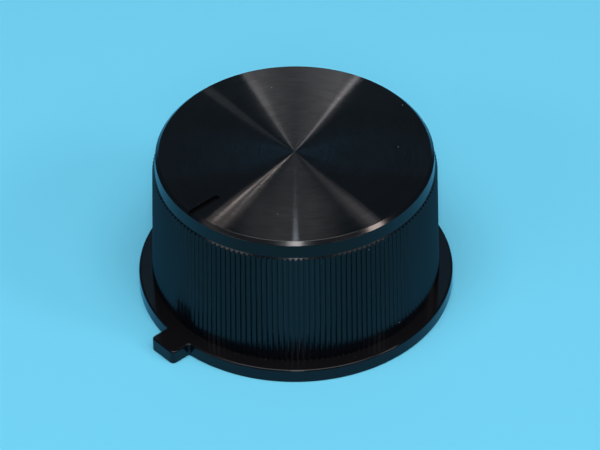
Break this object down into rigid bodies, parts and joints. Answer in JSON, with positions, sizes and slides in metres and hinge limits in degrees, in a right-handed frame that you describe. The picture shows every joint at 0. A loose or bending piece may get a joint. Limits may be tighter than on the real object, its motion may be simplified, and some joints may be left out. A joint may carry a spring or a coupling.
{
  "type": "control knob",
  "caption": "Round control knob with a ribbed drafted grip, a flat face with a pointer notch, a base flange with an index tab, and a hollow underside with a split boss for a round shaft.",
  "frame": {"origin": "on the shaft axis, in the plane of the flange's panel side", "axes": "+Z along the shaft axis towards the face; the index tab and the pointer notch lie along -Y"},
  "size_m": [0.044, 0.0468, 0.0227],
  "materials": {
    "black_plastic": "gloss black moulding with a circular spun finish on the face",
    "spring_steel": "drawn spring wire"
  },
  "bodies": {
    "root": {"knob_body": "black_plastic", "boss_spring_ring": "spring_steel"}
  },
  "joints": []
}
